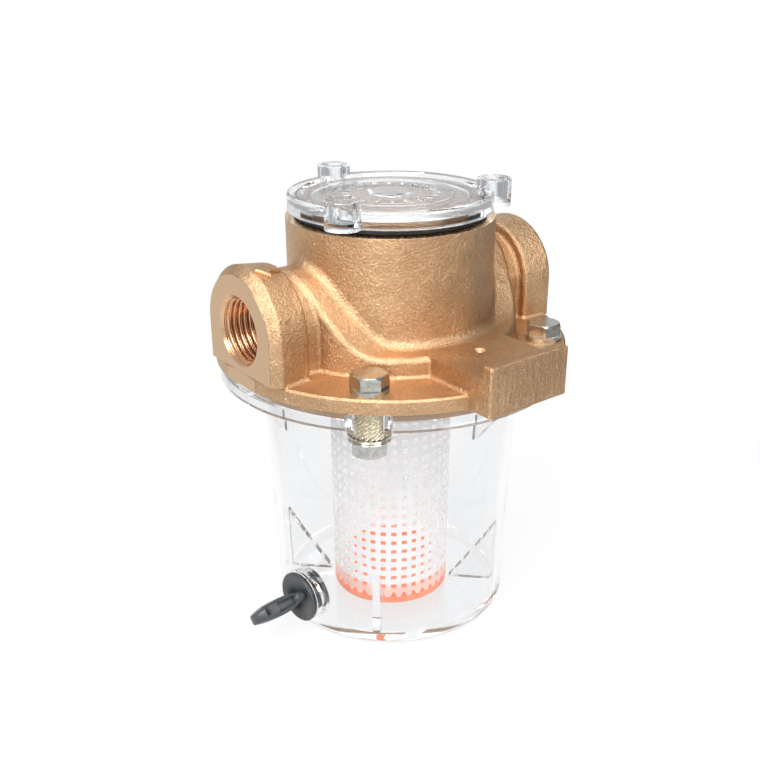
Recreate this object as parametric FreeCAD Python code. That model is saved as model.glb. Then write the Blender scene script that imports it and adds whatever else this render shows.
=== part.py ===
import FreeCAD, Part
import math
import os

from FreeCAD import Vector

# Sea water strainer: a cast bronze head with two threaded ports, a clear bowl bolted under it, a
# basket hung inside, a clear screw lid on top and a wing plug that drains the bowl.
# Millimetres. +Z is up, the origin is the centre of the bowl's foot, X runs along the port axis
# (outlet at -X, inlet at +X) and the mounting pad is at -Y.

# ---- Clearances ---------------------------------------------------------------------------------
FIT = 0.05                  # pieces pressed or screwed together, on the radius
RUN = 0.3                   # pieces that screw or slide past each other, on the radius
LOOSE = 0.5                 # pieces that only pass through each other, on the radius

# ---- Bowl ---------------------------------------------------------------------------------------
BOWL_HEIGHT = 91.9          # foot to the joint with the head
BOWL_FOOT_RADIUS = 40.2     # outside, at the foot
BOWL_TOP_RADIUS = 42.7      # outside, under the flange
BOWL_WALL = 2.6
BOWL_FLOOR = 3.5
BOWL_FOOT_ROUND = 2.8
BOWL_FLOOR_ROUND = 1.8      # inside corner
BOWL_FLANGE_RADIUS = 56.4
BOWL_FLANGE_THICKNESS = 3.5
BOWL_LIP_WIDTH = 2.6
BOWL_LIP_DEPTH = 5.9        # flange top to the lip's lower edge
GUSSET_THICKNESS = 2.0
GUSSET_DROP = 20.5          # flange top to the gusset's lower tip
FIN_THICKNESS = 2.4
FIN_HEIGHT = 27.0           # foot to the fin's top
FIN_INNER_RADIUS = 21.6

# ---- Head ---------------------------------------------------------------------------------------
FLANGE_RADIUS = 57.5
FLANGE_THICKNESS = 4.5
FLANGE_CHAMFER = 0.6
DRUM_RADIUS = 41.4
DRUM_HEIGHT = 10.7          # joint to the flat top of the drum and pad
DRUM_ROUND = 2.0
TURRET_RADIUS = 33.3
TURRET_HEIGHT = 44.4        # joint to the turret's machined rim
TURRET_FILLET = 3.0
CAST_FILLET = 1.3
PORT_HEIGHT = 17.2          # joint to the port axis
SADDLE_RADIUS = 16.0
SADDLE_SLOPE = 50.0         # degrees from level
SADDLE_BLEND = 10.0
NECK_RADIUS = 15.0
NECK_START = 28.3           # distance from the turret axis, inside the metal
BOSS_REAR = 44.0            # distances of the boss's edges from the turret axis
BOSS_SHOULDER = 54.2
PORT_FACE = 57.0
BOSS_REAR_RADIUS = 18.3
BOSS_RADIUS = 19.5
PORT_FACE_RADIUS = 16.9
BOSS_ROUND = 1.2
PORT_BORE_RADIUS = 9.32     # minor radius of the half-inch pipe thread
PORT_THREAD_LENGTH = 16.0
PORT_MOUTH_RADIUS = 10.84
PORT_PASSAGE_RADIUS = 8.2
INLET_START = 19.4          # distance from the turret axis, inside the turret bore
PAD_HALF_WIDTH = 15.4
PAD_REACH = 64.3
PAD_START = 29.4            # distance from the turret axis, inside the metal
PAD_LIP_WIDTH = 3.9
PAD_LIP_HEIGHT = 15.0       # joint to the lip's top
PAD_ROUND = 0.9
PAD_HOLE_REACH = 43.0
PAD_HOLE_RADIUS = 0.9
PAD_HOLE_MOUTH_RADIUS = 2.0
PAD_HOLE_DEPTH = 6.0
TURRET_BORE_RADIUS = 27.4
LEDGE_HEIGHT = 8.1          # joint to the ledge that carries the basket
LEDGE_THICKNESS = 4.0
CHAMBER_RADIUS = 37.4
DUCT_WALL = 3.6             # metal between the turret bore and the outlet duct, and over the duct

# ---- Bolts between head and bowl ----------------------------------------------------------------
BOLT_CIRCLE_RADIUS = 50.26
BOLT_RADIUS = 3.0
BOLT_LENGTH = 22.0
BOLT_HOLE_RADIUS = 3.3
HEX_ACROSS_FLATS = 10.0
HEX_FACE_RATIO = 0.95       # end face's width over the width across flats
HEX_CHAMFER_ANGLE = 30.0
BOLT_HEAD_HEIGHT = 4.0
NUT_HEIGHT = 5.0
WASHER_RADIUS = 5.8
WASHER_BORE_RADIUS = 3.2
WASHER_THICKNESS = 1.5
WASHER_GAP = 0.9
WASHER_GAP_TILT = 30.0
WASHER_GAP_TURN = 100.0     # from the bolt head's flat
INSERT_RADIUS = 4.0
INSERT_COLLAR_RADIUS = 4.6
INSERT_COLLAR_HEIGHT = 1.0
INSERT_LENGTH = 10.2
INSERT_BOSS_WALL = 2.6
INSERT_BOSS_DRAFT = 0.6
# place: angle from -Y towards +X, turn of the head's flat and turn of the nut's corner, in degrees
BOLT_PLACES = {
    "front_left": (-45.0, -33.0, -40.0),
    "front_right": (45.0, -8.3, 20.0),
    "back_right": (135.0, 100.0, 130.0),
    "back_left": (-135.0, -120.0, -142.0),
}

# ---- Seals --------------------------------------------------------------------------------------
BOWL_SEAL_LAND = 1.31       # metal between the seal and the bolt holes
BOWL_SEAL_WIDTH = 2.9
BOWL_SEAL_HEIGHT = 1.9
LID_SEAL_RADIUS = 30.5      # outside
LID_SEAL_HEIGHT = 2.1
DRAIN_SEAL_RADIUS = 8.3     # outside
DRAIN_SEAL_HEIGHT = 1.2
SEAL_CORNER = 0.6

# ---- Lid ----------------------------------------------------------------------------------------
LID_RADIUS = 32.6
LID_THICKNESS = 5.5
LID_EDGE_ROUND = 1.1
LID_RIM_WIDTH = 4.2
LID_RECESS_DEPTH = 1.0
LID_BEAD_RADIUS = 19.5      # raised ring in the recess
LID_BEAD_WIDTH = 1.6
LID_BEAD_HEIGHT = 0.5
LID_CEILING = 3.2
LID_SPIGOT_RADIUS = 28.4
LID_SPIGOT_WALL = 3.4
LID_SPIGOT_DEPTH = 10.4
LUG_RADIUS = 5.5
LUG_CIRCLE_RADIUS = 33.0
LUG_HEIGHT = 8.6
LUG_ROUND = 0.55
LUG_POCKET_RADIUS = 3.15
LUG_POCKET_DEPTH = 6.5
LUG_ANGLES = (-62.5, 57.5, 177.5)

# ---- Basket -------------------------------------------------------------------------------------
BASKET_FOOT_RADIUS = 20.3
BASKET_TOP_RADIUS = 20.9
BASKET_WALL = 1.4
BASKET_FLOOR_GAP = 0.3
BASKET_COLLAR_RADIUS = 25.8
BASKET_COLLAR_THICKNESS = 2.0
CAP_RIM_THICKNESS = 2.2
CAP_DEPTH = 7.3
CAP_WALL = 1.2
CAP_GAP = 0.15

# ---- Drain --------------------------------------------------------------------------------------
DRAIN_ANGLE = -84.5         # degrees from -Y towards +X
DRAIN_HEIGHT = 11.9
DRAIN_BOSS_RADIUS = 8.6
DRAIN_BOSS_STAND = 1.2      # boss face beyond the bowl's foot radius
DRAIN_BOSS_LENGTH = 5.8
PLUG_DISC_RADIUS = 8.57
PLUG_DISC_THICKNESS = 1.6
PLUG_DISC_ROUND = 0.4
PLUG_SHANK_RADIUS = 6.2
PLUG_SHANK_LENGTH = 6.8
WING_LENGTH = 18.0
WING_ROOT_HALF_WIDTH = 5.6
WING_HALF_WIDTH = 6.6
WING_WAIST = 5.94           # distances from the disc
WING_SHOULDER = 11.16
WING_SHOULDER_HALF_WIDTH = 5.676
WING_TIP = 17.1
WING_TIP_HALF_WIDTH = 2.5
WING_THICKNESS = 4.6
WING_ROLL = 40.0
WING_ROUND = 0.3
PANEL_START = 3.6
PANEL_LENGTH = 7.4
PANEL_WIDTH = 2.6
PANEL_DEPTH = 0.7
SLOT_START = 14.04
SLOT_LENGTH = 1.4
SLOT_FLOOR_HALF_WIDTH = 3.7

# ---- Levels and radii that follow ---------------------------------------------------------------
JOINT_Z = BOWL_HEIGHT
FLANGE_TOP_Z = JOINT_Z + FLANGE_THICKNESS
DRUM_TOP_Z = JOINT_Z + DRUM_HEIGHT
PORT_Z = JOINT_Z + PORT_HEIGHT
TURRET_TOP_Z = JOINT_Z + TURRET_HEIGHT
LEDGE_Z = JOINT_Z + LEDGE_HEIGHT
LID_Z = TURRET_TOP_Z + LID_SEAL_HEIGHT
INSERT_FOOT_Z = JOINT_Z - INSERT_LENGTH
BASKET_FOOT_Z = BOWL_FLOOR + BASKET_FLOOR_GAP + CAP_RIM_THICKNESS
INSERT_BOSS_RADIUS = INSERT_COLLAR_RADIUS + INSERT_BOSS_WALL
BOWL_SEAL_RADIUS = BOLT_CIRCLE_RADIUS - BOLT_HOLE_RADIUS - BOWL_SEAL_LAND - BOWL_SEAL_WIDTH / 2
DRAIN_BOSS_FACE = BOWL_FOOT_RADIUS + DRAIN_BOSS_STAND
LID_BORE_RADIUS = LID_SPIGOT_RADIUS + RUN
UP = Vector(0, 0, 1)
MARGIN = 1.0                # how far a cutting tool runs past the face it opens
TOUCH = 1e-3                # distance under which two positions are the same


def direction(angle):
    """Level unit vector at an angle in degrees from -Y towards +X."""
    turn = math.radians(angle)
    return Vector(math.sin(turn), -math.cos(turn), 0)


def cylinder(radius, low_z, high_z, x=0.0, y=0.0):
    return Part.makeCylinder(radius, high_z - low_z, Vector(x, y, low_z))


def box(low, high):
    size = Vector(*high) - Vector(*low)
    return Part.makeBox(size.x, size.y, size.z, Vector(*low))


def lathe(points):
    """Turned solid about Z from a closed outline of (radius, height) points."""
    outline = Part.makePolygon([Vector(r, 0, z) for r, z in points + points[:1]])
    return Part.Face(outline).revolve(Vector(0, 0, 0), UP, 360)


def ring(inner, outer, low_z, high_z, corner=0.0):
    """Flat ring whose four corners can be taken off, as on a squeezed seal."""
    points = [(inner, low_z), (outer, low_z), (outer, high_z), (inner, high_z)]
    if corner:
        points = [(inner + corner, low_z), (outer - corner, low_z), (outer, low_z + corner),
                  (outer, high_z - corner), (outer - corner, high_z), (inner + corner, high_z),
                  (inner, high_z - corner), (inner, low_z + corner)]
    return lathe(points)


def hexagon(across_flats, low_z, high_z, flat_angle):
    """Hexagonal prism about Z with the middle of one flat at flat_angle."""
    corner_radius = across_flats / math.sqrt(3)
    corners = [direction(flat_angle + 30 + 60 * i) * corner_radius for i in range(7)]
    prism = Part.Face(Part.makePolygon(corners)).extrude(UP * (high_z - low_z))
    prism.translate(UP * low_z)
    return prism


def chamfered_hexagon(across_flats, low_z, high_z, flat_angle, both_ends=False):
    """Hexagonal prism with its corners turned off by a cone on top, or on both ends."""
    corner_radius = across_flats / math.sqrt(3)
    face_radius = across_flats / 2 * HEX_FACE_RATIO
    drop = (corner_radius - face_radius) * math.tan(math.radians(HEX_CHAMFER_ANGLE))
    outline = [(0, low_z), (corner_radius, low_z), (corner_radius, high_z - drop),
               (face_radius, high_z), (0, high_z)]
    if both_ends:
        outline[1:2] = [(face_radius, low_z), (corner_radius, low_z + drop)]
    return hexagon(across_flats, low_z, high_z, flat_angle).common(lathe(outline))


def along_x(shape, side):
    """Place a shape built about Z, base at the origin, on the port axis, pointing to side * X."""
    turned = shape.copy()
    turned.rotate(Vector(0, 0, 0), Vector(0, 1, 0), 90 * side)
    turned.translate(Vector(0, 0, PORT_Z))
    return turned


def edge_ends_at_radius(edge, radius):
    return all(abs(math.hypot(v.Point.x, v.Point.y) - radius) < TOUCH for v in edge.Vertexes)


# ---- Strainer head ------------------------------------------------------------------------------
def saddle():
    """Drum and shoulders: an arched section along X, trimmed round by the drum."""
    slope = math.radians(SADDLE_SLOPE)
    arch_end = (SADDLE_RADIUS * math.sin(slope), PORT_Z + SADDLE_RADIUS * math.cos(slope))
    reach = (arch_end[1] - DRUM_TOP_Z) / math.tan(slope)
    tangent = SADDLE_BLEND * math.tan(slope / 2)
    flat_end = (arch_end[0] + reach + tangent, DRUM_TOP_Z)
    flank_end = (flat_end[0] - tangent * (1 + math.cos(slope)), DRUM_TOP_Z + tangent * math.sin(slope))
    blend_middle = (flat_end[0] - SADDLE_BLEND * math.sin(slope / 2),
                    DRUM_TOP_Z + SADDLE_BLEND * (1 - math.cos(slope / 2)))
    side = DRUM_RADIUS + MARGIN

    def at(point, mirror=1):
        return Vector(0, mirror * point[0], point[1])

    outline = Part.Wire([
        Part.makeLine(at((side, JOINT_Z), -1), at((side, DRUM_TOP_Z), -1)),
        Part.makeLine(at((side, DRUM_TOP_Z), -1), at(flat_end, -1)),
        Part.Arc(at(flat_end, -1), at(blend_middle, -1), at(flank_end, -1)).toShape(),
        Part.makeLine(at(flank_end, -1), at(arch_end, -1)),
        Part.Arc(at(arch_end, -1), at((0, PORT_Z + SADDLE_RADIUS)), at(arch_end)).toShape(),
        Part.makeLine(at(arch_end), at(flank_end)),
        Part.Arc(at(flank_end), at(blend_middle), at(flat_end)).toShape(),
        Part.makeLine(at(flat_end), at((side, DRUM_TOP_Z))),
        Part.makeLine(at((side, DRUM_TOP_Z)), at((side, JOINT_Z))),
        Part.makeLine(at((side, JOINT_Z)), at((side, JOINT_Z), -1)),
    ])
    bar = Part.Face(outline).extrude(Vector(2 * side, 0, 0))
    bar.translate(Vector(-side, 0, 0))
    drum = bar.common(cylinder(DRUM_RADIUS, JOINT_Z, TURRET_TOP_Z))
    top_edges = [edge for edge in drum.Edges
                 if edge_ends_at_radius(edge, DRUM_RADIUS) and edge.BoundBox.ZMin > JOINT_Z + MARGIN]
    return drum.makeFillet(DRUM_ROUND, top_edges)


def drum_and_turret():
    turret = cylinder(TURRET_RADIUS, JOINT_Z, TURRET_TOP_Z)
    body = saddle().fuse(turret).removeSplitter()
    root = [edge for edge in body.Edges
            if edge_ends_at_radius(edge, TURRET_RADIUS)
            and edge.BoundBox.ZMin > JOINT_Z + MARGIN and edge.BoundBox.ZMax < TURRET_TOP_Z - MARGIN]
    return body.makeFillet(TURRET_FILLET, root)


def arch(outline):
    """D-shaped boss along +X: (distance, radius) points turned about the port axis, with the same
    outline in plan carried straight down to the flange."""
    turned = Part.Face(Part.makePolygon([Vector(x, 0, r) for x, r in outline + outline[:1]]))
    turned = turned.revolve(Vector(0, 0, 0), Vector(1, 0, 0), 360)
    plan = outline[1:-1]
    mirrored = [(x, -r) for x, r in reversed(plan)]
    loop = [Vector(x, r, 0) for x, r in plan + mirrored + plan[:1]]
    skirt = Part.Face(Part.makePolygon(loop)).extrude(UP * (FLANGE_TOP_Z - PORT_Z))
    upper = turned.common(box((0, -FLANGE_RADIUS, 0), (FLANGE_RADIUS, FLANGE_RADIUS, FLANGE_RADIUS)))
    return upper.fuse(skirt).removeSplitter()


def port_boss():
    """Neck and boss of one port, pointing along +X, with its axis on X."""
    boss = arch([(BOSS_REAR, 0), (BOSS_REAR, BOSS_REAR_RADIUS), (BOSS_SHOULDER, BOSS_RADIUS),
                 (PORT_FACE, PORT_FACE_RADIUS), (PORT_FACE, 0)])
    rims = [edge for edge in boss.Edges
            if edge.BoundBox.XLength < TOUCH and edge.BoundBox.ZLength > MARGIN
            and min(abs(edge.BoundBox.XMin - BOSS_REAR), abs(edge.BoundBox.XMin - BOSS_SHOULDER)) < TOUCH]
    boss = boss.makeFillet(BOSS_ROUND, rims)
    neck = arch([(NECK_START, 0), (NECK_START, NECK_RADIUS),
                 (BOSS_REAR + MARGIN, NECK_RADIUS), (BOSS_REAR + MARGIN, 0)])
    return boss.fuse(neck).removeSplitter()


def pad():
    """Block at -Y with a low lip along its outer edge."""
    lip_inner = PAD_REACH - PAD_LIP_WIDTH
    corners = [(PAD_START, JOINT_Z), (PAD_REACH, JOINT_Z), (PAD_REACH, JOINT_Z + PAD_LIP_HEIGHT),
               (lip_inner, JOINT_Z + PAD_LIP_HEIGHT), (lip_inner, DRUM_TOP_Z), (PAD_START, DRUM_TOP_Z)]
    outline = Part.makePolygon([Vector(-PAD_HALF_WIDTH, -y, z) for y, z in corners + corners[:1]])
    block = Part.Face(outline).extrude(Vector(2 * PAD_HALF_WIDTH, 0, 0))
    outer = [edge for edge in block.Edges
             if edge.BoundBox.YMax < -PAD_START - MARGIN and edge.BoundBox.ZMax > JOINT_Z + MARGIN
             or edge.BoundBox.ZMin > DRUM_TOP_Z - TOUCH and edge.BoundBox.YLength > MARGIN]
    inner_corner = [edge for edge in block.Edges
                    if abs(edge.BoundBox.YMin + lip_inner) < TOUCH
                    and abs(edge.BoundBox.ZMax - DRUM_TOP_Z) < TOUCH]
    keep = [edge for edge in outer if not any(edge.isSame(other) for other in inner_corner)]
    return block.makeFillet(PAD_ROUND, keep)


def on_arch(vertex, radius):
    """True where a vertex lies on the arch of this radius round the port axis."""
    rise = max(vertex.Point.z - PORT_Z, 0)
    return abs(math.hypot(vertex.Point.y, rise) - radius) < 0.01


def is_pocket_floor(edge):
    """Inner corners between the flange and what stands on it."""
    bounds = edge.BoundBox
    level = bounds.ZLength < TOUCH and abs(bounds.ZMin - FLANGE_TOP_Z) < TOUCH
    nearest = min(math.hypot(v.Point.x, v.Point.y) for v in edge.Vertexes)
    inside = nearest < FLANGE_RADIUS - 2 * FLANGE_CHAMFER
    return level and inside and max(abs(bounds.XMin), abs(bounds.XMax)) < BOSS_SHOULDER - 0.1


def is_neck_corner(edge):
    """Inner corners where a neck runs into the drum and into its boss."""
    bounds = edge.BoundBox
    above = bounds.ZMin > FLANGE_TOP_Z - TOUCH and bounds.ZMax > FLANGE_TOP_Z + MARGIN
    across = above and bounds.XLength < BOSS_ROUND * 3
    reach = all(TURRET_RADIUS < abs(v.Point.x) < BOSS_REAR + 0.01 for v in edge.Vertexes)
    return across and reach and all(on_arch(v, NECK_RADIUS) for v in edge.Vertexes)


def is_pad_corner(edge):
    """Upright inner corners between the pad and the drum."""
    upright = edge.BoundBox.XLength < TOUCH and edge.BoundBox.YLength < TOUCH
    at_pad = all(abs(abs(v.Point.x) - PAD_HALF_WIDTH) < TOUCH for v in edge.Vertexes)
    return upright and at_pad and -DRUM_RADIUS < edge.BoundBox.YMin < 0


def head_casting():
    """Outside of the casting, with its fillets."""
    body = drum_and_turret()
    right = port_boss()
    right.translate(UP * PORT_Z)
    left = right.mirror(Vector(0, 0, 0), Vector(1, 0, 0))
    flange = cylinder(FLANGE_RADIUS, JOINT_Z, FLANGE_TOP_Z)
    rim = [edge for edge in flange.Edges if edge.isClosed() and edge.BoundBox.ZMin > FLANGE_TOP_Z - TOUCH]
    flange = flange.makeChamfer(FLANGE_CHAMFER, rim)
    between_ports = box((-PORT_FACE, -FLANGE_RADIUS, JOINT_Z), (PORT_FACE, FLANGE_RADIUS, FLANGE_TOP_Z))
    flange = flange.common(between_ports)
    casting = body.multiFuse([right, left, pad(), flange]).removeSplitter()
    corners = [edge for edge in casting.Edges
               if is_pocket_floor(edge) or is_neck_corner(edge) or is_pad_corner(edge)]
    return casting.makeFillet(CAST_FILLET, corners)


def port_hole(inner_end):
    """Threaded bore and passage of one port, built about Z from the turret axis outwards."""
    thread_end = PORT_FACE - PORT_THREAD_LENGTH
    mouth = PORT_MOUTH_RADIUS - PORT_BORE_RADIUS
    return lathe([(0, inner_end), (PORT_PASSAGE_RADIUS, inner_end), (PORT_PASSAGE_RADIUS, thread_end),
                  (PORT_BORE_RADIUS, thread_end), (PORT_BORE_RADIUS, PORT_FACE - mouth),
                  (PORT_MOUTH_RADIUS, PORT_FACE), (PORT_MOUTH_RADIUS, PORT_FACE + MARGIN),
                  (0, PORT_FACE + MARGIN)])


def outlet_duct():
    """Kidney-shaped way up from the bowl to the outlet, outside the turret bore."""
    inner = TURRET_BORE_RADIUS + DUCT_WALL
    radius = SADDLE_RADIUS - DUCT_WALL
    sector = cylinder(CHAMBER_RADIUS, JOINT_Z, PORT_Z + radius).cut(cylinder(inner, JOINT_Z, PORT_Z + radius))
    tunnel = Part.makeCylinder(radius, FLANGE_RADIUS, Vector(0, 0, PORT_Z), Vector(-1, 0, 0))
    tunnel = tunnel.fuse(box((-FLANGE_RADIUS, -radius, JOINT_Z), (0, radius, PORT_Z)))
    return sector.common(tunnel)


def strainer_head():
    head = head_casting()
    ledge_bore = BASKET_TOP_RADIUS + LOOSE
    bore = lathe([(0, JOINT_Z - MARGIN), (CHAMBER_RADIUS, JOINT_Z - MARGIN),
                  (CHAMBER_RADIUS, LEDGE_Z - LEDGE_THICKNESS), (ledge_bore, LEDGE_Z - LEDGE_THICKNESS),
                  (ledge_bore, LEDGE_Z), (TURRET_BORE_RADIUS, LEDGE_Z),
                  (TURRET_BORE_RADIUS, TURRET_TOP_Z - LID_SPIGOT_DEPTH),
                  (LID_BORE_RADIUS, TURRET_TOP_Z - LID_SPIGOT_DEPTH),
                  (LID_BORE_RADIUS, TURRET_TOP_Z + MARGIN), (0, TURRET_TOP_Z + MARGIN)])
    groove_half = BOWL_SEAL_WIDTH / 2 + FIT
    groove = ring(BOWL_SEAL_RADIUS - groove_half, BOWL_SEAL_RADIUS + groove_half,
                  JOINT_Z - MARGIN, JOINT_Z + BOWL_SEAL_HEIGHT)
    inlet = along_x(port_hole(INLET_START), 1)
    outlet = along_x(port_hole(TURRET_BORE_RADIUS + DUCT_WALL + MARGIN), -1)
    mouth_depth = PAD_HOLE_MOUTH_RADIUS - PAD_HOLE_RADIUS
    pad_hole = lathe([(0, DRUM_TOP_Z - PAD_HOLE_DEPTH), (PAD_HOLE_RADIUS, DRUM_TOP_Z - PAD_HOLE_DEPTH),
                      (PAD_HOLE_RADIUS, DRUM_TOP_Z - mouth_depth), (PAD_HOLE_MOUTH_RADIUS, DRUM_TOP_Z),
                      (PAD_HOLE_MOUTH_RADIUS, DRUM_TOP_Z + MARGIN), (0, DRUM_TOP_Z + MARGIN)])
    pad_hole.translate(Vector(0, -PAD_HOLE_REACH, 0))
    tools = [bore, groove, outlet_duct(), inlet, outlet, pad_hole]
    for angle, _, _ in BOLT_PLACES.values():
        place = direction(angle) * BOLT_CIRCLE_RADIUS
        tools.append(cylinder(BOLT_HOLE_RADIUS, JOINT_Z - MARGIN, FLANGE_TOP_Z + MARGIN, place.x, place.y))
    return head.cut(tools)


# ---- Bowl ---------------------------------------------------------------------------------------
def bowl_wall_radius(height):
    """Outside radius of the drafted wall at a height over the foot."""
    draft = (BOWL_TOP_RADIUS - BOWL_FOOT_RADIUS) / (BOWL_HEIGHT - BOWL_LIP_DEPTH)
    return BOWL_FOOT_RADIUS + draft * height


def wedge(points, thickness, angle):
    """Flat triangular web of (radius, height) points standing in the plane at angle."""
    outward = direction(angle)
    across = outward.cross(UP)
    loop = [outward * r + UP * z - across * (thickness / 2) for r, z in points + points[:1]]
    return Part.Face(Part.makePolygon(loop)).extrude(across * thickness)


def insert_boss(angle):
    place = direction(angle) * BOLT_CIRCLE_RADIUS
    height = INSERT_LENGTH - BOWL_FLANGE_THICKNESS / 2
    boss = Part.makeCone(INSERT_BOSS_RADIUS - INSERT_BOSS_DRAFT, INSERT_BOSS_RADIUS, height)
    boss.translate(place + UP * INSERT_FOOT_Z)
    return boss


def insert_hole(angle):
    place = direction(angle) * BOLT_CIRCLE_RADIUS
    collar_top = INSERT_FOOT_Z + INSERT_COLLAR_HEIGHT
    hole = cylinder(INSERT_RADIUS + FIT, INSERT_FOOT_Z - MARGIN, JOINT_Z + MARGIN, place.x, place.y)
    collar = cylinder(INSERT_COLLAR_RADIUS + FIT, INSERT_FOOT_Z - MARGIN, collar_top, place.x, place.y)
    return hole.fuse(collar)


def drain_frame(shape):
    """Move a shape built about Z onto the drain axis, with Z pointing outwards and Y up."""
    outward = direction(DRAIN_ANGLE)
    across = UP.cross(outward)
    matrix = FreeCAD.Matrix(across.x, UP.x, outward.x, 0,
                            across.y, UP.y, outward.y, 0,
                            across.z, UP.z, outward.z, DRAIN_HEIGHT,
                            0, 0, 0, 1)
    moved = shape.copy()
    moved.Placement = FreeCAD.Placement(matrix).multiply(shape.Placement)
    return moved


def bowl():
    flange_low = JOINT_Z - BOWL_FLANGE_THICKNESS
    lip_low = JOINT_Z - BOWL_LIP_DEPTH
    top_radius = bowl_wall_radius(flange_low)
    outside = lathe([(0, 0), (BOWL_FOOT_RADIUS, 0), (top_radius, flange_low),
                     (BOWL_FLANGE_RADIUS - BOWL_LIP_WIDTH, flange_low),
                     (BOWL_FLANGE_RADIUS - BOWL_LIP_WIDTH, lip_low), (BOWL_FLANGE_RADIUS, lip_low),
                     (BOWL_FLANGE_RADIUS, JOINT_Z), (0, JOINT_Z)])
    foot_edge = [edge for edge in outside.Edges if edge.isClosed() and edge.BoundBox.ZMax < TOUCH]
    outside = outside.makeFillet(BOWL_FOOT_ROUND, foot_edge)
    floor_radius = bowl_wall_radius(BOWL_FLOOR) - BOWL_WALL
    inside = lathe([(0, BOWL_FLOOR), (floor_radius, BOWL_FLOOR),
                    (bowl_wall_radius(JOINT_Z) - BOWL_WALL, JOINT_Z), (0, JOINT_Z)])
    floor_edge = [edge for edge in inside.Edges
                  if edge.isClosed() and edge.BoundBox.ZMax < BOWL_FLOOR + TOUCH]
    inside = inside.makeFillet(BOWL_FLOOR_ROUND, floor_edge)
    boss_inner = DRAIN_BOSS_FACE - DRAIN_BOSS_LENGTH
    drain_boss = drain_frame(cylinder(DRAIN_BOSS_RADIUS, boss_inner, DRAIN_BOSS_FACE))
    shell = outside.fuse(drain_boss).cut(inside.cut(drain_boss))
    wall_tip = JOINT_Z - GUSSET_DROP
    webs = [wedge([(bowl_wall_radius(wall_tip) - MARGIN, wall_tip),
                   (BOWL_FLANGE_RADIUS - BOWL_LIP_WIDTH, lip_low),
                   (BOWL_FLANGE_RADIUS - BOWL_LIP_WIDTH, flange_low + MARGIN),
                   (bowl_wall_radius(wall_tip) - MARGIN, flange_low + MARGIN)], GUSSET_THICKNESS, angle)
            for angle in (0, 90, 180, 270)]
    fins = [wedge([(FIN_INNER_RADIUS, BOWL_FLOOR - MARGIN), (FIN_INNER_RADIUS, BOWL_FLOOR),
                   (bowl_wall_radius(FIN_HEIGHT) - BOWL_WALL, FIN_HEIGHT),
                   (bowl_wall_radius(FIN_HEIGHT) - BOWL_WALL / 2, FIN_HEIGHT),
                   (BOWL_FOOT_RADIUS - BOWL_WALL / 2, BOWL_FLOOR - MARGIN)], FIN_THICKNESS, angle)
            for angle in (45, 135, 225, 315)]
    bosses = [insert_boss(angle) for angle, _, _ in BOLT_PLACES.values()]
    solid = shell.multiFuse(webs + fins + bosses)
    holes = [insert_hole(angle) for angle, _, _ in BOLT_PLACES.values()]
    drain_hole = cylinder(PLUG_SHANK_RADIUS + RUN, boss_inner - MARGIN, DRAIN_BOSS_FACE + MARGIN)
    holes.append(drain_frame(drain_hole))
    return solid.cut(holes).removeSplitter()


# ---- Lid ----------------------------------------------------------------------------------------
def lid():
    top = LID_Z + LID_THICKNESS
    recess = top - LID_RECESS_DEPTH
    ceiling = recess - LID_CEILING
    spigot_low = TURRET_TOP_Z - LID_SPIGOT_DEPTH + MARGIN
    rim = LID_RADIUS - LID_RIM_WIDTH
    bead_low = LID_BEAD_RADIUS - LID_BEAD_WIDTH / 2
    bead_high = LID_BEAD_RADIUS + LID_BEAD_WIDTH / 2
    bead_top = recess + LID_BEAD_HEIGHT
    spigot_inner = LID_SPIGOT_RADIUS - LID_SPIGOT_WALL
    disc = lathe([(0, ceiling), (spigot_inner, ceiling), (spigot_inner, spigot_low),
                  (LID_SPIGOT_RADIUS, spigot_low), (LID_SPIGOT_RADIUS, LID_Z), (LID_RADIUS, LID_Z),
                  (LID_RADIUS, top), (rim, top), (rim - LID_RECESS_DEPTH, recess), (bead_high, recess),
                  (bead_high, bead_top), (bead_low, bead_top), (bead_low, recess), (0, recess)])
    rim_edge = [edge for edge in disc.Edges
                if edge.isClosed() and abs(edge.BoundBox.XMax - LID_RADIUS) < TOUCH
                and abs(edge.BoundBox.ZMax - top) < TOUCH]
    disc = disc.makeFillet(LID_EDGE_ROUND, rim_edge)
    lugs = []
    pockets = []
    lug_top = LID_Z + LUG_HEIGHT
    for angle in LUG_ANGLES:
        place = direction(angle) * LUG_CIRCLE_RADIUS
        lug = cylinder(LUG_RADIUS, LID_Z, lug_top, place.x, place.y)
        rims = [edge for edge in lug.Edges if edge.isClosed() and edge.BoundBox.ZMin > lug_top - TOUCH]
        lugs.append(lug.makeFillet(LUG_ROUND, rims))
        pocket_floor = lug_top - LUG_POCKET_DEPTH
        pockets.append(cylinder(LUG_POCKET_RADIUS, pocket_floor, lug_top + MARGIN, place.x, place.y))
    spigot_space = cylinder(spigot_inner, spigot_low - MARGIN, ceiling)
    return disc.multiFuse(lugs).cut(pockets + [spigot_space]).removeSplitter()


# ---- Basket -------------------------------------------------------------------------------------
def basket():
    """Tapered tube that hangs by its collar on the ledge, open at both ends."""
    collar_top = LEDGE_Z + BASKET_COLLAR_THICKNESS
    return lathe([(BASKET_FOOT_RADIUS - BASKET_WALL, BASKET_FOOT_Z), (BASKET_FOOT_RADIUS, BASKET_FOOT_Z),
                  (BASKET_TOP_RADIUS, LEDGE_Z), (BASKET_COLLAR_RADIUS, LEDGE_Z),
                  (BASKET_COLLAR_RADIUS, collar_top), (BASKET_TOP_RADIUS - BASKET_WALL, collar_top),
                  (BASKET_TOP_RADIUS - BASKET_WALL, LEDGE_Z)])


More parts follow.
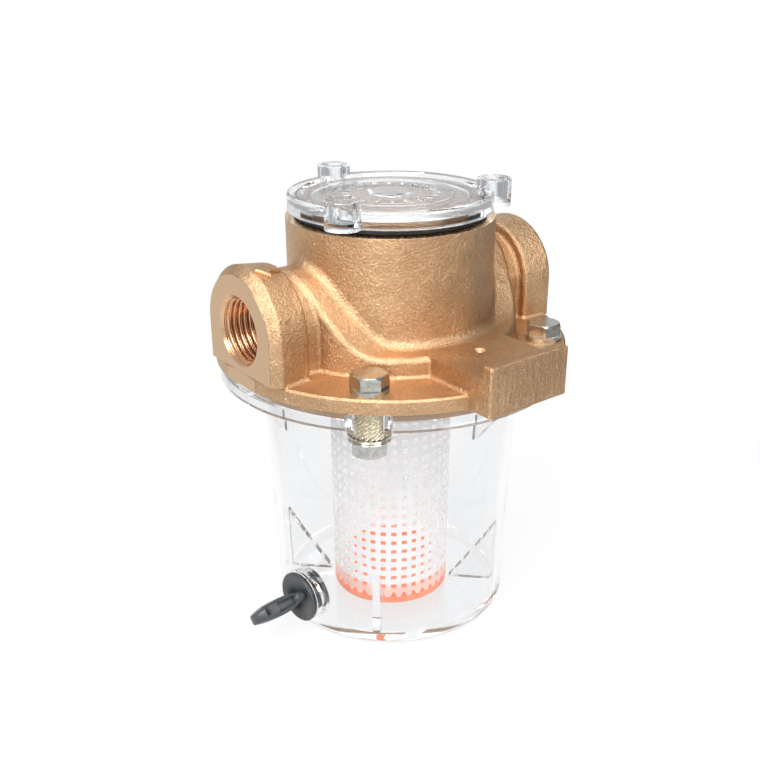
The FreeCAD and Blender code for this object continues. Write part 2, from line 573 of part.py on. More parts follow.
def basket_cap():
    """Cup pushed into the basket's lower end, with a rim under the basket's edge."""
    low = BASKET_FOOT_Z - CAP_RIM_THICKNESS
    outer = BASKET_FOOT_RADIUS - BASKET_WALL - CAP_GAP
    return lathe([(0, low), (BASKET_FOOT_RADIUS, low), (BASKET_FOOT_RADIUS, BASKET_FOOT_Z),
                  (outer, BASKET_FOOT_Z), (outer, low + CAP_DEPTH), (outer - CAP_WALL, low + CAP_DEPTH),
                  (outer - CAP_WALL, BASKET_FOOT_Z - CAP_WALL / 2), (0, BASKET_FOOT_Z - CAP_WALL / 2)])


# ---- Drain plug ---------------------------------------------------------------------------------
def wing():
    """Leaf-shaped grip on the drain axis: length along Z from the origin, width along Y."""
    def rib(side):
        root = Vector(0, side * WING_ROOT_HALF_WIDTH, 0)
        waist = Vector(0, side * WING_HALF_WIDTH, WING_WAIST)
        shoulder = Vector(0, side * WING_SHOULDER_HALF_WIDTH, WING_SHOULDER)
        tip = Vector(0, side * WING_TIP_HALF_WIDTH, WING_TIP)
        return root, waist, shoulder, tip

    root, waist, shoulder, tip = rib(1)
    other_root, other_waist, other_shoulder, other_tip = rib(-1)
    outline = Part.Wire([
        Part.Arc(root, waist, shoulder).toShape(),
        Part.makeLine(shoulder, tip),
        Part.Arc(tip, Vector(0, 0, WING_LENGTH), other_tip).toShape(),
        Part.makeLine(other_tip, other_shoulder),
        Part.Arc(other_shoulder, other_waist, other_root).toShape(),
        Part.makeLine(other_root, root),
    ])
    plate = Part.Face(outline).extrude(Vector(WING_THICKNESS, 0, 0))
    plate.translate(Vector(-WING_THICKNESS / 2, 0, 0))
    face_edges = [edge for edge in plate.Edges
                  if edge.BoundBox.XLength < TOUCH and edge.BoundBox.ZMax > MARGIN]
    plate = plate.makeFillet(WING_ROUND, face_edges)
    cuts = []
    for side in (1, -1):
        far_y = side * (WING_HALF_WIDTH + MARGIN)
        low_y, high_y = sorted((side * (WING_HALF_WIDTH - PANEL_DEPTH), far_y))
        cuts.append(box((-PANEL_WIDTH / 2, low_y, PANEL_START),
                        (PANEL_WIDTH / 2, high_y, PANEL_START + PANEL_LENGTH)))
        low_y, high_y = sorted((side * SLOT_FLOOR_HALF_WIDTH, far_y))
        cuts.append(box((-WING_THICKNESS, low_y, SLOT_START),
                        (WING_THICKNESS / 4, high_y, SLOT_START + SLOT_LENGTH)))
    return plate.cut(cuts)


def drain_plug():
    seat = DRAIN_BOSS_FACE + DRAIN_SEAL_HEIGHT
    face = seat + PLUG_DISC_THICKNESS
    disc = cylinder(PLUG_DISC_RADIUS, seat, face)
    rim = [edge for edge in disc.Edges if edge.isClosed() and edge.BoundBox.ZMin > face - TOUCH]
    disc = disc.makeFillet(PLUG_DISC_ROUND, rim)
    shank = cylinder(PLUG_SHANK_RADIUS, seat - PLUG_SHANK_LENGTH - DRAIN_SEAL_HEIGHT, face)
    grip = wing()
    grip.rotate(Vector(0, 0, 0), UP, -(90 - WING_ROLL))
    grip.translate(UP * (face - MARGIN / 2))
    return drain_frame(disc.multiFuse([shank, grip]).removeSplitter())


def drain_seal():
    return drain_frame(ring(PLUG_SHANK_RADIUS + RUN, DRAIN_SEAL_RADIUS, DRAIN_BOSS_FACE,
                            DRAIN_BOSS_FACE + DRAIN_SEAL_HEIGHT, SEAL_CORNER / 2))


# ---- Fasteners ----------------------------------------------------------------------------------
def bolt(angle, flat_angle):
    seat = FLANGE_TOP_Z + WASHER_THICKNESS
    head = chamfered_hexagon(HEX_ACROSS_FLATS, seat, seat + BOLT_HEAD_HEIGHT, flat_angle)
    shank = cylinder(BOLT_RADIUS, seat - BOLT_LENGTH, seat)
    solid = head.fuse(shank)
    solid.translate(direction(angle) * BOLT_CIRCLE_RADIUS)
    return solid


def lock_washer(angle, gap_angle):
    top = FLANGE_TOP_Z + WASHER_THICKNESS
    solid = ring(WASHER_BORE_RADIUS, WASHER_RADIUS, FLANGE_TOP_Z, top)
    gap = box((0, -WASHER_GAP / 2, FLANGE_TOP_Z - MARGIN),
              (WASHER_RADIUS + MARGIN, WASHER_GAP / 2, top + MARGIN))
    gap.rotate(Vector(0, 0, (FLANGE_TOP_Z + top) / 2), Vector(1, 0, 0), WASHER_GAP_TILT)
    gap.rotate(Vector(0, 0, 0), UP, gap_angle - 90)
    solid = solid.cut(gap)
    solid.translate(direction(angle) * BOLT_CIRCLE_RADIUS)
    return solid


def insert(angle):
    collar_top = INSERT_FOOT_Z + INSERT_COLLAR_HEIGHT
    body = cylinder(INSERT_RADIUS, INSERT_FOOT_Z, JOINT_Z)
    solid = body.fuse(cylinder(INSERT_COLLAR_RADIUS, INSERT_FOOT_Z, collar_top))
    solid = solid.cut(cylinder(BOLT_RADIUS + FIT, INSERT_FOOT_Z - MARGIN, JOINT_Z + MARGIN)).removeSplitter()
    solid.translate(direction(angle) * BOLT_CIRCLE_RADIUS)
    return solid


def nut(angle, corner_angle):
    low = INSERT_FOOT_Z - NUT_HEIGHT
    solid = chamfered_hexagon(HEX_ACROSS_FLATS, low, INSERT_FOOT_Z, corner_angle + 30, both_ends=True)
    solid = solid.cut(cylinder(BOLT_RADIUS + FIT, low - MARGIN, INSERT_FOOT_Z + MARGIN))
    solid.translate(direction(angle) * BOLT_CIRCLE_RADIUS)
    return solid


def bowl_seal():
    half = BOWL_SEAL_WIDTH / 2
    return ring(BOWL_SEAL_RADIUS - half, BOWL_SEAL_RADIUS + half,
                JOINT_Z, JOINT_Z + BOWL_SEAL_HEIGHT, SEAL_CORNER)


def lid_seal():
    return ring(LID_BORE_RADIUS, LID_SEAL_RADIUS, TURRET_TOP_Z, LID_Z, SEAL_CORNER)


# ---- Write one file per piece -------------------------------------------------------------------
def pieces():
    yield "strainer_head", strainer_head()
    yield "bowl", bowl()
    yield "bowl_seal", bowl_seal()
    yield "basket", basket()
    yield "basket_cap", basket_cap()
    yield "lid", lid()
    yield "lid_seal", lid_seal()
    yield "drain_plug", drain_plug()
    yield "drain_seal", drain_seal()
    for place, (angle, flat_angle, corner_angle) in BOLT_PLACES.items():
        yield "bolt_" + place, bolt(angle, flat_angle)
        yield "lock_washer_" + place, lock_washer(angle, flat_angle + WASHER_GAP_TURN)
        yield "insert_" + place, insert(angle)
        yield "nut_" + place, nut(angle, corner_angle)


os.makedirs("parts", exist_ok=True)
for name, shape in pieces():
    shape.exportStep("parts/" + name + ".step")
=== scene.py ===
import math

import bmesh
import bpy
import numpy as np
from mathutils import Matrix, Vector


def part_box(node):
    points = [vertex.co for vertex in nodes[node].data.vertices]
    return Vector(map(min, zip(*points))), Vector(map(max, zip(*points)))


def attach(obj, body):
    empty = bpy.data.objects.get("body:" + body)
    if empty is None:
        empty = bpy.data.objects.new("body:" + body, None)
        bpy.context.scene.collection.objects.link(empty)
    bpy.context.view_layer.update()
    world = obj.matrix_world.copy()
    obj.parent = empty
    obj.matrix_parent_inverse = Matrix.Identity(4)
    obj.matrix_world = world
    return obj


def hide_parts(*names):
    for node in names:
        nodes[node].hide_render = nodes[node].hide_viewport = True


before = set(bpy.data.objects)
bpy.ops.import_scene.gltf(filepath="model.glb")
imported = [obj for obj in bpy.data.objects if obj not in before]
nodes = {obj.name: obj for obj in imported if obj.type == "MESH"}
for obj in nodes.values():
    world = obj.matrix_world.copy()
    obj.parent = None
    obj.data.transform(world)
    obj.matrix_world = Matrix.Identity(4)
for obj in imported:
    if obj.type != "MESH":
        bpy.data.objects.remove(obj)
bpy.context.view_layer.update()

# Sizes are in millimetres in the frame of the CAD model, unless metres are named, and MM makes
# metres of them. Colours are linear.
MM = 0.001
ROUND_STEPS = 96                # points round a turned surface
BOLT_PLACES = ("front_left", "front_right", "back_right", "back_left")
PORT_Z = 109.1                  # axis of both ports, along X
PORT_FACE = 57.0                # from the turret's axis
THREAD_PITCH = 1.814            # half-inch pipe thread
THREAD_CREST = 9.32             # radius
THREAD_ROOT = 10.48
THREAD_END = 41.0               # from the turret's axis
THREAD_FADE = 6.0
MOUTH_RADIUS = 10.84            # of the cone at the port's face, at 45 degrees
JOINT_Z = 91.9                  # the head's underside, on the bowl
JOINT_AIR = 0.03
LEDGE_Z = 100.0                 # carries the basket by its collar
UP = (0, 0, 1)


# ---- Surfaces -----------------------------------------------------------------------------------
def quads(rows, columns, close_rows=False, close_columns=False):
    """Faces of a grid of rows x columns points, numbered row by row."""
    i = np.arange(rows if close_rows else rows - 1)
    j = np.arange(columns if close_columns else columns - 1)
    i, j = (a.ravel() for a in np.meshgrid(i, j, indexing="ij"))
    i2, j2 = (i + 1) % rows, (j + 1) % columns
    return np.stack((i * columns + j, i * columns + j2, i2 * columns + j2, i2 * columns + j), 1)


def join(parts):
    """One (points, faces) from several."""
    points, faces, count = [], [], 0
    for p, f in parts:
        points.append(p)
        faces.append(f + count)
        count += len(p)
    return np.concatenate(points), np.concatenate(faces)


def around(radius, angle, height):
    """Points (r cos a, r sin a, h) from arrays of one shape."""
    return np.stack((radius * np.cos(angle), radius * np.sin(angle), height), -1)


def turned(radius, height, steps):
    """Closed profile of radius and height, turned about Z."""
    angle = np.linspace(0, 2 * np.pi, steps, endpoint=False)
    r, a = np.meshgrid(np.asarray(radius, float), angle, indexing="ij")
    z = np.repeat(np.asarray(height, float)[:, None], steps, 1)
    return around(r, a, z).reshape(-1, 3), quads(len(radius), steps, True, True)


def linked(name, data):
    """A new object at the origin, in the scene."""
    made = bpy.data.objects.new(name, data)
    bpy.context.scene.collection.objects.link(made)
    return made


def piece(name, surface, material, body, smooth=True):
    """A finished piece from (points in mm, four-cornered faces), riding on a body."""
    points, faces = surface
    mesh = bpy.data.meshes.new(name)
    mesh.from_pydata((points * MM).tolist(), [], faces.tolist())
    mesh.validate()
    mesh.polygons.foreach_set("use_smooth", np.full(len(mesh.polygons), smooth))
    mesh.update()
    made = linked(name, mesh)
    mesh.materials.append(material)
    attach(made, body)
    return made


# ---- Shader expressions -------------------------------------------------------------------------
class Value:
    """A socket of a material. Operators add Math nodes; numbers alone stay numbers."""

    def __init__(self, finish, socket):
        self.finish, self.socket = finish, socket

    def math(self, operation, first, second=0.0):
        return self.finish.node("Math", {"operation": operation}, {0: first, 1: second})

    def __add__(self, other): return self.math("ADD", self, other)
    def __sub__(self, other): return self.math("SUBTRACT", self, other)
    def __mul__(self, other): return self.math("MULTIPLY", self, other)
    def __rsub__(self, other): return self.math("SUBTRACT", other, self)
    __radd__, __rmul__ = __add__, __mul__

    def unsigned(self): return self.math("ABSOLUTE", self)
    def or_more(self, other): return self.math("MAXIMUM", self, other)

    def between(self, low, high):
        """0 below low, 1 above high, smooth from one to the other."""
        return self.finish.node("MapRange", {"interpolation_type": "SMOOTHSTEP"},
                                {"Value": self, "From Min": low, "From Max": high})


class Finish:
    """The nodes of one material, or of the world where that is given."""

    def __init__(self, name, world=None):
        self.material = world or bpy.data.materials.new(name)
        self.material.use_nodes = True
        self.tree = self.material.node_tree
        self.tree.nodes.clear()
        self.place = self.node("TexCoord", output="Object")

    def node(self, kind, settings=None, values=None, output=0):
        """A node of a kind, with its settings first and then the values or links of its sockets.
        Gives the named or numbered output, or the node itself for None."""
        made = self.tree.nodes.new("ShaderNode" + kind)
        for key, value in (settings or {}).items():
            setattr(made, key, value)
        for key, value in (values or {}).items():
            if isinstance(value, Value):
                self.tree.links.new(value.socket, made.inputs[key])
            else:
                made.inputs[key].default_value = value
        return made if output is None else Value(self, made.outputs[output])

    def axes(self, vector=None):
        """X, Y and Z of a vector, or of the place on the object."""
        parts = self.node("SeparateXYZ", None, {0: vector or self.place}, None).outputs
        return [Value(self, parts[name]) for name in "XYZ"]

    def noise(self, size, detail=3.0, roughness=0.55, where=None):
        """Noise whose grains are about size millimetres across."""
        return self.node("TexNoise", None, {"Vector": where or self.place, "Scale": 1000.0 / size,
                                            "Detail": detail, "Roughness": roughness})

    def mix(self, factor, first, second):
        """Colour between two."""
        rgba = [c if isinstance(c, Value) else (*c, 1.0) for c in (first, second)]
        return self.node("Mix", {"data_type": "RGBA"}, {0: factor, 6: rgba[0], 7: rgba[1]}, 2)

    def mottled(self, size, first, second, detail=3.0, low=0.3, high=0.7):
        """Colour that wanders from one to the other in patches of size millimetres."""
        return self.mix(self.noise(size, detail).between(low, high), first, second)

    def bump(self, height, distance, strength=1.0):
        """Relief of distance millimetres."""
        return self.node("Bump", None,
                         {"Height": height, "Distance": distance * MM, "Strength": strength})

    def surface(self, **values):
        """Principled surface; an underscore in a name stands for a space."""
        named = {key.replace("_", " "): value for key, value in values.items()}
        return self.shown_as(self.node("BsdfPrincipled", None, named))

    def shown_as(self, shader, kind="OutputMaterial"):
        self.node(kind, None, {"Surface": shader}, None)
        return self.material


# ---- Finishes -----------------------------------------------------------------------------------
# Where machined metal or the pad's front begins: just under the face itself.
PORT_FACE_EDGE = (56.85 * MM, 56.95 * MM)
RIM_EDGE = (136.2 * MM, 136.28 * MM)
PAD_FRONT_EDGE = (64.10 * MM, 64.20 * MM)
STREAK_SQUASH = (1.0, 1.0, 0.12)

BRONZE_BROWN = (0.55, 0.34, 0.185)
BRONZE_GOLD = (0.66, 0.42, 0.235)
BRONZE_DENT = (0.48, 0.29, 0.155)
BRONZE_STREAK = (0.48, 0.31, 0.18)
# Painted shade for the grain's low parts, and a painted highlight for its raised parts.
BRONZE_PAINTED_PIT_SHADE = (0.44, 0.25, 0.13)
BRONZE_PAINTED_CREST_HIGHLIGHT = (0.86, 0.65, 0.45)
BRONZE_MACHINED = (0.72, 0.50, 0.31)

CLEAR_IOR = 1.49
CLEAR_SHADE = 0.985             # the darker of a clear plastic's two tones
# Painted light: the orange cap's colour laid over the white basket's foot, as light through the
# wall.
PAINTED_CAP_GLOW_COLOUR = (1.0, 0.56, 0.44)
PAINTED_CAP_GLOW_SHARE = 0.75
PAINTED_CAP_GLOW_FADE = (9.5 * MM, 12.0 * MM)


def cast_bronze():
    """Sand-cast skin: close grain over shallow dents that gather in patches. The grain carries a
    painted highlight, paler where it stands up, and painted shade, darker where it lies low.
    Upright streaks run on the pad's front, and the port faces and the turret's rim are plain
    machined metal."""
    f = Finish("cast_bronze")
    x, y, z = f.axes()
    machined = x.unsigned().between(*PORT_FACE_EDGE) + z.between(*RIM_EDGE)
    skin = 1.0 - machined
    pad_front = (0.0 - y).between(*PAD_FRONT_EDGE)
    upright = f.node("VectorMath", {"operation": "MULTIPLY"}, {0: f.place, 1: STREAK_SQUASH})
    streaks = f.noise(1.1, 2.0, 0.6, upright) * pad_front
    grain = f.noise(0.75, 3.0, 0.75)
    dents = f.noise(1.8, 2.0, 0.55)
    patches = f.noise(14.0, 3.0, 0.6)
    tint = f.mix(patches.between(0.35, 0.65), BRONZE_BROWN, BRONZE_GOLD)
    tint = f.mix(dents.between(0.5, 0.75) * 0.5, tint, BRONZE_DENT)
    tint = f.mix(streaks.between(0.5, 0.65) * 0.5, tint, BRONZE_STREAK)
    # Painted shade in the grain's low parts, then a painted highlight on its raised parts.
    tint = f.mix((1.0 - grain.between(0.30, 0.46)) * 0.5, tint, BRONZE_PAINTED_PIT_SHADE)
    tint = f.mix(grain.between(0.52, 0.70) * 0.65, tint, BRONZE_PAINTED_CREST_HIGHLIGHT)
    colour = f.mix(machined, tint, BRONZE_MACHINED)
    relief = grain + dents * (0.15 + patches.between(0.5, 0.62) * 0.65) + streaks * 0.8
    return f.surface(Base_Color=colour, Metallic=1.0, Roughness=0.22 + skin * 0.07 + dents * 0.10,
                     Normal=f.bump(relief * skin, 0.38))


def clear_plastic(name, colour):
    """Moulded clear plastic with a very faint ripple."""
    f = Finish(name)
    tint = f.mottled(30.0, colour, tuple(c * CLEAR_SHADE for c in colour), detail=1.0)
    return f.surface(Base_Color=tint, Roughness=0.01 + f.noise(9.0, 1.0) * 0.02, IOR=CLEAR_IOR,
                     Transmission_Weight=1.0, Normal=f.bump(f.noise(14.0, 1.0), 0.04, 0.12))


def plastic(name, colour, other, roughness, grain, relief, glow=0.0, painted_cap_glow=None):
    """Moulded plastic or rubber. glow is painted light: an emission that stands for the light a
    translucent wall passes on. painted_cap_glow is the colour of the part beyond the wall's foot,
    painted over the foot as the light that comes through it."""
    f = Finish(name)
    tint = f.mottled(6.0, colour, other)
    # Painted light: the cap's colour laid over the foot of the wall, fading out upwards.
    if painted_cap_glow:
        foot = 1.0 - f.axes()[2].between(*PAINTED_CAP_GLOW_FADE)
        tint = f.mix(foot * PAINTED_CAP_GLOW_SHARE, tint, painted_cap_glow)
    return f.surface(Base_Color=tint, Roughness=roughness + f.noise(2.0) * 0.08,
                     Emission_Color=tint, Emission_Strength=glow,
                     Normal=f.bump(f.noise(grain), relief, 0.5))


def metal(name, colour, other, roughness, mottle=1.5, wear=0.8, wear_depth=0.12, relief=0.015):
    """Worked metal: mottle and wear are the sizes of its patches of colour and of gloss."""
    f = Finish(name)
    tint = f.mottled(mottle, colour, other, low=0.35, high=0.65)
    return f.surface(Base_Color=tint, Metallic=1.0,
                     Roughness=roughness + f.noise(wear) * wear_depth,
                     Normal=f.bump(f.noise(0.5), relief, 0.4))


BRONZE = cast_bronze()
BRONZE_CUT = metal("machined_bronze", (0.72, 0.43, 0.24), (0.82, 0.54, 0.33), 0.20,
                   mottle=3.0, wear=0.6, wear_depth=0.1, relief=0.02)
CLEAR_BOWL = clear_plastic("clear_bowl", (0.955, 0.960, 0.966))
CLEAR_LID = clear_plastic("clear_lid", (0.95, 0.97, 0.98))
RUBBER = plastic("black_rubber", (0.012, 0.012, 0.013), (0.022, 0.022, 0.023),
                 roughness=0.38, grain=0.5, relief=0.02)
SEAL_PALE = plastic("pale_rubber", (0.60, 0.58, 0.56), (0.54, 0.52, 0.50),
                    roughness=0.4, grain=0.5, relief=0.02, glow=0.35)
# White basket with a painted glow, and the cap's colour painted over its foot as light through the
# wall.
WHITE = plastic("white_plastic", (0.92, 0.915, 0.91), (0.89, 0.88, 0.875),
                roughness=0.36, grain=0.8, relief=0.015, glow=0.21, painted_cap_glow=PAINTED_CAP_GLOW_COLOUR)
ORANGE = plastic("orange_plastic", (0.95, 0.27, 0.13), (0.97, 0.34, 0.16),
                 roughness=0.38, grain=0.8, relief=0.015, glow=0.28)
DARK = plastic("dark_plastic", (0.040, 0.043, 0.047), (0.055, 0.058, 0.062),
               roughness=0.34, grain=0.4, relief=0.03)
STEEL = metal("bright_steel", (0.42, 0.42, 0.39), (0.54, 0.54, 0.51), 0.13)
NUT_STEEL = metal("nut_steel", (0.50, 0.50, 0.49), (0.62, 0.62, 0.61), 0.17)
BRASS = metal("insert_brass", (0.72, 0.64, 0.47), (0.83, 0.77, 0.62), 0.20)


def dress(node, material):
    slots = nodes[node].data.materials
    slots.clear()
    slots.append(material)


for node_name, finish in (("strainer_head", BRONZE), ("bowl", CLEAR_BOWL), ("bowl_seal", SEAL_PALE),
                          ("basket_cap", ORANGE), ("lid", CLEAR_LID), ("lid_seal", RUBBER),
                          ("drain_seal", RUBBER)):
    dress(node_name, finish)
for place in BOLT_PLACES:
    for kind, finish in (("bolt_", STEEL), ("lock_washer_", STEEL), ("nut_", NUT_STEEL)):
        dress(kind + place, finish)


# ---- Basket -------------------------------------------------------------------------------------
BASKET_COLUMNS = 36
BASKET_ROWS = 24
BASKET_PITCH = 3.47
BASKET_HOLE = 1.75              # square, outside
BASKET_HOLE_INSIDE = 2.75       # the holes widen inwards
BASKET_WALL = 1.4
BASKET_FOOT = 6.0
TEETH_TOP = 8.6
TEETH_DEPTH = 1.9
TEETH_WIDTH = 0.74              # share of a column
TOOTH_STEPS = 10
BASKET_FOOT_RADIUS = 20.3
BASKET_TOP_RADIUS = 20.9
COLLAR_RADIUS = 25.8
COLLAR_TOP = 102.0
COLLAR_ROUND = 1.0


def basket_radius(z):
    """Outside radius, widening evenly from the foot to the ledge."""
    share = (z - BASKET_FOOT) / (LEDGE_Z - BASKET_FOOT)
    return BASKET_FOOT_RADIUS + share * (BASKET_TOP_RADIUS - BASKET_FOOT_RADIUS)


def basket_surface():
    """Wall as two grids over angle and height, outside and inside. Every third square of both is
    left out for a hole, and the grid lines round it are joined through the wall."""
    grids = []
    for inset, width in ((0.0, BASKET_HOLE), (BASKET_WALL, BASKET_HOLE_INSIDE)):
        hole = width / BASKET_PITCH
        cuts = np.array([0.0, (1 - hole) / 2, (1 + hole) / 2])
        columns = (np.arange(BASKET_COLUMNS)[:, None] + cuts).ravel() / BASKET_COLUMNS * 2 * np.pi
        rows = (TEETH_TOP + (np.arange(BASKET_ROWS)[:, None] + cuts) * BASKET_PITCH).ravel()
        rows = np.concatenate((rows, [TEETH_TOP + BASKET_ROWS * BASKET_PITCH, LEDGE_Z]))
        z, a = np.meshgrid(rows, columns, indexing="ij")
        grids.append(around(basket_radius(z) - inset, a, z).reshape(-1, 3))
    count = len(columns)
    cells = quads(len(rows), count, False, True)
    row = np.repeat(np.arange(len(rows) - 1), count)
    column = np.tile(np.arange(count), len(rows) - 1)
    pierced = (column % 3 == 1) & (row % 3 == 1) & (row < 3 * BASKET_ROWS)
    outer, inner = cells[~pierced], cells[~pierced][:, ::-1] + len(grids[0])
    rim = cells[pierced]
    walls = [np.stack((rim[:, k], rim[:, k] + len(grids[0]),
                       rim[:, (k + 1) % 4] + len(grids[0]), rim[:, (k + 1) % 4]), 1)
             for k in range(4)]
    return np.concatenate(grids), np.concatenate([outer, inner, *walls])


def teeth_surface():
    """Foot of the wall: each column ends in a rounded tooth, the lower edge rising beside it by
    depth x (1 - sqrt(1 - t^2)), with t from -1 to 1 across the tooth. A closed strip round it."""
    count = BASKET_COLUMNS * TOOTH_STEPS
    angle = np.arange(count) / count * 2 * np.pi
    t = ((np.arange(count) / TOOTH_STEPS + 0.5) % 1.0 * 2 - 1) / TEETH_WIDTH
    low = BASKET_FOOT + TEETH_DEPTH * (1 - np.sqrt(1 - np.minimum(t * t, 1.0)))
    high = np.full(count, TEETH_TOP)
    rings = [(0.0, low), (0.0, high), (BASKET_WALL, high), (BASKET_WALL, low)]
    points = [around(basket_radius(z) - inset, angle, z) for inset, z in rings]
    return np.concatenate(points), quads(4, count, True, True)[:, ::-1]


def collar_surface():
    """Flat ring with a rounded outer edge that hangs on the ledge."""
    inner = BASKET_TOP_RADIUS - BASKET_WALL
    edge = np.linspace(-np.pi / 2, np.pi / 2, 9)
    radius = np.concatenate(([inner], COLLAR_RADIUS - COLLAR_ROUND + np.cos(edge) * COLLAR_ROUND,
                             [inner]))
    height = np.concatenate(([LEDGE_Z], (LEDGE_Z + COLLAR_TOP) / 2 + np.sin(edge) * COLLAR_ROUND,
                             [COLLAR_TOP]))
    return turned(radius, height, ROUND_STEPS)


basket_piece = piece("basket_screen",
                     join([basket_surface(), teeth_surface(), collar_surface()]), WHITE,
                     "housing", smooth=False)
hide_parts("basket")


# ---- Knurled inserts ----------------------------------------------------------------------------
INSERT_FOOT = 81.7
INSERT_TOP = 91.9
INSERT_BORE = 3.05              # radius, as the next two
INSERT_RADIUS = 4.0
INSERT_COLLAR_RADIUS = 4.6
INSERT_COLLAR_HEIGHT = 1.0
INSERT_CHAMFER = 0.15
BELOW_INSERT = 0.1
BOSS_SLACK = 0.02               # for telling which vertices lie on a boss's bore
KNURL_COUNT = 18
KNURL_DEPTH = 0.38
KNURL_TWIST = 0.27              # radians of slant for each millimetre of height
KNURL_ROWS = 26
KNURL_STEPS = 8                 # points round each ridge
BOSS_BORE = 4.05
BITTEN_BORE = 3.55              # the clear boss is moulded round the knurl


def insert_surface(middle):
    """Slanting knurl: the radius falls by depth x (1 - |cos(count/2 x (angle - twist x height))|),
    over a plain collar at the foot and a plain bore."""
    collar_top = INSERT_FOOT + INSERT_COLLAR_HEIGHT
    angle = np.linspace(0, 2 * np.pi, KNURL_COUNT * KNURL_STEPS, endpoint=False)
    z, a = np.meshgrid(np.linspace(collar_top, INSERT_TOP, KNURL_ROWS), angle, indexing="ij")
    wave = np.abs(np.cos(KNURL_COUNT / 2 * (a - KNURL_TWIST * z)))
    body = around(INSERT_RADIUS - KNURL_DEPTH * (1 - wave), a, z)
    rings = [(INSERT_BORE, INSERT_TOP), (INSERT_BORE, INSERT_FOOT),
             (INSERT_COLLAR_RADIUS - INSERT_CHAMFER, INSERT_FOOT),
             (INSERT_COLLAR_RADIUS, INSERT_FOOT + INSERT_CHAMFER),
             (INSERT_COLLAR_RADIUS, collar_top - INSERT_CHAMFER),
             (INSERT_COLLAR_RADIUS - INSERT_CHAMFER, collar_top)]
    plain = np.stack([around(r, angle, np.full(len(angle), height)) for r, height in rings])
    points = np.concatenate((plain, body)).reshape(-1, 3) + np.array(middle)
    return points, quads(len(rings) + KNURL_ROWS, len(angle), True, True)


for place in BOLT_PLACES:
    low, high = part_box("insert_" + place)
    centre = ((low.x + high.x) / 2 / MM, (low.y + high.y) / 2 / MM, 0.0)
    knurled = piece("knurled_insert_" + place, insert_surface(centre), BRASS, "housing",
                    smooth=False)
    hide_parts("insert_" + place)


def bowl_round_inserts():
    """The bowl with the bore of each boss drawn in round its insert's knurl."""
    mesh = nodes["bowl"].data.copy()
    mesh.name = "bowl_moulding"
    lowest = (INSERT_FOOT - BELOW_INSERT) * MM
    for insert in BOLT_PLACES:
        corner, far_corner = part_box("insert_" + insert)
        axis = (corner + far_corner) / 2
        for vertex in mesh.vertices:
            way = vertex.co - axis
            way.z = 0
            if way.length < (BOSS_BORE + BOSS_SLACK) * MM and vertex.co.z > lowest:
                vertex.co -= way * (1 - BITTEN_BORE / BOSS_BORE)
    made = linked("bowl_moulding", mesh)
    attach(made, "housing")
    return made


bowl_piece = bowl_round_inserts()
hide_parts("bowl")


# ---- Threads ------------------------------------------------------------------------------------
THREAD_FLANK = 1.25             # leaves a tenth of the pitch flat at the crest and at the root
MOUTH_SLACK = 0.02              # for telling which vertices lie on a port's bore, as the next
BORE_SLACK = 0.05
JOINT_SLACK = 0.001             # and which on the head's underside


def thread_surface(length, pitch, crest, root, steps=72, per_turn=10, fade=0.0, limit=None):
    """Helical thread about Z from 0 to length: the radius runs from root to crest and back once a
    pitch, by the phase z / pitch - angle / full turn, and fades to the crest near z = 0."""
    z = np.linspace(0, length, max(2, int(length / pitch * per_turn)))
    a = np.linspace(0, 2 * np.pi, steps, endpoint=False)
    zz, aa = np.meshgrid(z, a, indexing="ij")
    phase = (zz / pitch - aa / (2 * np.pi)) % 1.0
    tooth = np.clip(np.abs(phase * 2 - 1) * THREAD_FLANK - (THREAD_FLANK - 1) / 2, 0, 1)
    if fade:
        tooth = 1 - (1 - tooth) * np.clip(zz / fade, 0, 1)
    r = root + (crest - root) * tooth
    if limit is not None:
        r = np.maximum(r, limit(zz))
    return around(r, aa, zz).reshape(-1, 3), quads(len(z), steps, False, True)


def turn_to(points, outward, across, up, origin):
    """Points built about Z moved to axes of their own: x along across, y along up, z outward."""
    return points @ np.array([across, up, outward]) + np.array(origin)


def port_liner(side):
    """Inside of one port's thread, with the mouth's cone where that is wider."""
    length = PORT_FACE - THREAD_END
    points, faces = thread_surface(
        length, THREAD_PITCH, THREAD_CREST, THREAD_ROOT, per_turn=12, fade=THREAD_FADE,
        limit=lambda z: MOUTH_RADIUS - (length - z))
    points = turn_to(points, (side, 0, 0), (0, side, 0), UP, (side * THREAD_END, 0, PORT_Z))
    return points, faces[:, ::-1]


def in_bore(point):
    """Whether a point of the head, in metres, lies on the bore of a port."""
    off_axis = math.hypot(point.y, point.z - PORT_Z * MM)
    return (abs(point.x) > (THREAD_END - BORE_SLACK) * MM
            and (THREAD_CREST - BORE_SLACK) * MM < off_axis < (MOUTH_RADIUS + MOUTH_SLACK) * MM)


def head_without_bores():
    """The casting with the faces of both threaded bores taken off, and its underside a hair above
    the clear flange."""
    mesh = nodes["strainer_head"].data.copy()
    mesh.name = "head_casting"
    shape = bmesh.new()
    shape.from_mesh(mesh)
    bore = [face for face in shape.faces if all(in_bore(v.co) for v in face.verts)]
    bmesh.ops.delete(shape, geom=bore, context="FACES")
    for vertex in shape.verts:
        if abs(vertex.co.z - JOINT_Z * MM) < JOINT_SLACK * MM:
            vertex.co.z += JOINT_AIR * MM
    shape.to_mesh(mesh)
    shape.free()
    made = linked("head_casting", mesh)
    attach(made, "housing")
    return made


head_piece = head_without_bores()
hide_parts("strainer_head")
for side, name in ((-1, "outlet_thread"), (1, "inlet_thread")):
    piece(name, port_liner(side), BRONZE_CUT, "housing")


# ---- Drain plug ---------------------------------------------------------------------------------
DRAIN_TURN = math.radians(-84.5)
DRAIN_Z = 11.9
drain_way = np.array((math.sin(DRAIN_TURN), -math.cos(DRAIN_TURN), 0.0))

